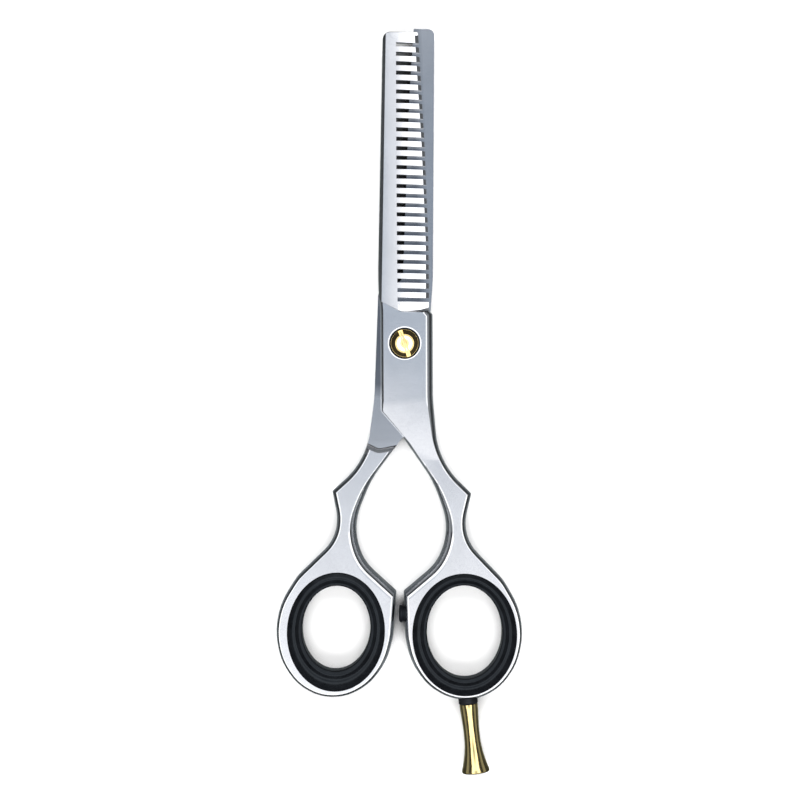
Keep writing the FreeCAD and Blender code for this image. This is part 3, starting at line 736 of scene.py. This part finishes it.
# Studio round the shears as a mirror sees it: degrees from overhead, and brightness up to STUDIO_PEAK.
STUDIO_PEAK = 2.4
STUDIO_LEAN = math.radians(5.5)
STUDIO = [
    (0.0, (0.17, 0.20, 0.245)), (4.5, (0.19, 0.22, 0.26)), (9.0, (0.37, 0.38, 0.40)),
    (14.0, (0.53, 0.53, 0.54)), (18.5, (0.83, 0.83, 0.84)), (33.0, (0.9, 0.9, 0.9)),
    (38.0, (0.03, 0.03, 0.034)), (57.0, (0.01, 0.01, 0.011)), (66.0, (0.1, 0.105, 0.11)),
    (86.0, (0.13, 0.135, 0.14)), (96.0, (0.01, 0.01, 0.011)), (180.0, (0.008, 0.008, 0.009)),
]


def studio_world(world):
    """Plain pale backdrop, soft fill, and a studio of one bright ring overhead for what reflects."""
    world.use_nodes = True
    tree = world.node_tree
    tree.nodes.clear()
    add = tree.nodes.new
    link = tree.links.new
    direction = add("ShaderNodeTexCoord").outputs["Generated"]
    lean = add("ShaderNodeMapping")
    lean.inputs["Rotation"].default_value = (STUDIO_LEAN, 0, 0)
    link(direction, lean.inputs["Vector"])
    parts = add("ShaderNodeSeparateXYZ")
    link(lean.outputs["Vector"], parts.inputs["Vector"])
    angle = add("ShaderNodeMath")
    angle.operation = "ARCCOSINE"
    link(parts.outputs["Z"], angle.inputs[0])
    share = add("ShaderNodeMath")
    share.operation = "DIVIDE"
    share.inputs[1].default_value = math.pi
    link(angle.outputs["Value"], share.inputs[0])
    ramp = add("ShaderNodeValToRGB")
    elements = ramp.color_ramp.elements
    while len(elements) < len(STUDIO):
        elements.new(0.5)
    for element, (degrees, tone) in zip(elements, STUDIO):
        element.position = degrees / 180
        element.color = (*tone, 1.0)
    link(share.outputs["Value"], ramp.inputs["Fac"])

    mirrored, fill, seen = (add("ShaderNodeBackground") for _ in range(3))
    link(ramp.outputs["Color"], mirrored.inputs["Color"])
    mirrored.inputs["Strength"].default_value = STUDIO_PEAK
    fill.inputs["Color"].default_value = (1, 1, 1, 1)
    fill.inputs["Strength"].default_value = FILL_LIGHT
    seen.inputs["Color"].default_value = (*BACKDROP, 1)
    rays = add("ShaderNodeLightPath")
    glossy, camera = add("ShaderNodeMixShader"), add("ShaderNodeMixShader")
    link(rays.outputs["Is Glossy Ray"], glossy.inputs["Fac"])
    link(fill.outputs["Background"], glossy.inputs[1])
    link(mirrored.outputs["Background"], glossy.inputs[2])
    link(rays.outputs["Is Camera Ray"], camera.inputs["Fac"])
    link(glossy.outputs["Shader"], camera.inputs[1])
    link(seen.outputs["Background"], camera.inputs[2])
    link(camera.outputs["Shader"], add("ShaderNodeOutputWorld").inputs["Surface"])


def paper_floor(name, size, tone, shade):
    """Plain matt paper on the surface the shears lie on, shaded by how far it is open to the sky."""
    select_only(None)
    bpy.ops.mesh.primitive_plane_add(size=size)
    floor = bpy.context.object
    floor.name = name
    look = Finish(name)
    look.fixed(Specular_IOR_Level=0.1, Roughness=0.9)
    paper = look.noise(look.coordinates, 30.0, 4.0)
    sheet = look.ramp(paper, [(0.3, lighter(tone, 0.985)), (0.7, tone)])
    # Painted shade: the paper's colour is darkened where the shears close it in from the sky.
    crevice = look.add("ShaderNodeAmbientOcclusion", samples=12)
    crevice.inputs["Distance"].default_value = FLOOR_REACH
    open_sky = look.ramp(crevice.outputs["AO"], shade)
    look.link(look.blend(1.0, sheet, open_sky, "MULTIPLY"), look.shader.inputs["Base Color"])
    floor.data.materials.append(look.material)
    return floor


class SHEARS_OT_stage(bpy.types.Operator):
    """Pale floor, overhead softboxes, studio surroundings and the camera"""
    bl_idname = "shears.stage"
    bl_label = "Stage"

    def execute(self, context):
        sizes = context.scene.shears_stage
        # Painted shade: near black in the narrow gaps under the comb, white elsewhere.
        painted_gap_shade = [(0.2, (0.02, 0.02, 0.025)), (0.38, (1.0, 1.0, 1.0))]
        floor = paper_floor("floor", sizes.floor_size, tuple(sizes.floor_color), painted_gap_shade)
        floor.visible_glossy = False
        floor.visible_shadow = False
        # Painted reflection: a dark floor copy that only reflections see, lighter near the shears and darker
        # away from them.
        painted_reflection_falloff = [(0.78, (1.0, 1.0, 1.0)), (0.94, (0.12, 0.12, 0.12))]
        tone = tuple(sizes.mirrored_color)
        mirrored = paper_floor("floor_in_reflections", sizes.floor_size, tone, painted_reflection_falloff)
        mirrored.visible_camera = False
        mirrored.visible_diffuse = False
        mirrored.visible_shadow = False

        for number, place in enumerate(SOFTBOX_PLACES):
            light = bpy.data.lights.new(f"Softbox {number + 1}", "AREA")
            light.shape = "RECTANGLE"
            light.size, light.size_y = SOFTBOX_SIZE
            light.energy = sizes.box_power
            box = bpy.data.objects.new(light.name, light)
            box.location = place
            box.rotation_euler = (-Vector(place)).to_track_quat("-Z", "Y").to_euler()
            box.visible_glossy = False
            context.collection.objects.link(box)

        context.scene.world = bpy.data.worlds.new("Studio")
        studio_world(context.scene.world)
        context.scene.view_settings.view_transform = "Standard"

        lens = bpy.data.cameras.new("Camera")
        lens.lens = sizes.lens
        lens.sensor_width = 36.0
        lens.clip_start = 0.01
        camera = bpy.data.objects.new("Camera", lens)
        camera.location = sizes.camera_place
        camera.rotation_euler = (0, 0, sizes.camera_turn)
        context.collection.objects.link(camera)
        context.scene.camera = camera
        return {"FINISHED"}


OPERATORS = (
    SHEARS_OT_halves,
    SHEARS_OT_inserts,
    SHEARS_OT_pivot,
    SHEARS_OT_bumper,
    SHEARS_OT_finger_rest,
    SHEARS_OT_fittings,
    SHEARS_OT_stage,
)
GROUPS = {
    "shears_steel": ShearsSteel,
    "shears_rubber": ShearsRubber,
    "shears_pivot": ShearsPivot,
    "shears_rest": ShearsRest,
    "shears_stage": ShearsStage,
}


class SHEARS_PT_panel(bpy.types.Panel):
    bl_label = "Thinning Shears"
    bl_idname = "SHEARS_PT_panel"
    bl_space_type = "VIEW_3D"
    bl_region_type = "UI"
    bl_category = "Shears"

    def draw(self, context):
        layout = self.layout
        for operator in OPERATORS:
            layout.operator(operator.bl_idname)
        for name in GROUPS:
            group = getattr(context.scene, name)
            box = layout.box()
            for key in group.__annotations__:
                box.prop(group, key)


def register():
    for group in GROUPS.values():
        bpy.utils.register_class(group)
    for name, group in GROUPS.items():
        setattr(bpy.types.Scene, name, bpy.props.PointerProperty(type=group))
    for operator in OPERATORS:
        bpy.utils.register_class(operator)
    bpy.utils.register_class(SHEARS_PT_panel)


def unregister():
    bpy.utils.unregister_class(SHEARS_PT_panel)
    for operator in reversed(OPERATORS):
        bpy.utils.unregister_class(operator)
    for name, group in reversed(GROUPS.items()):
        delattr(bpy.types.Scene, name)
        bpy.utils.unregister_class(group)


def main():
    register()
    for operator in OPERATORS:
        family, name = operator.bl_idname.split(".")
        getattr(getattr(bpy.ops, family), name)()


if __name__ == "__main__":
    main()
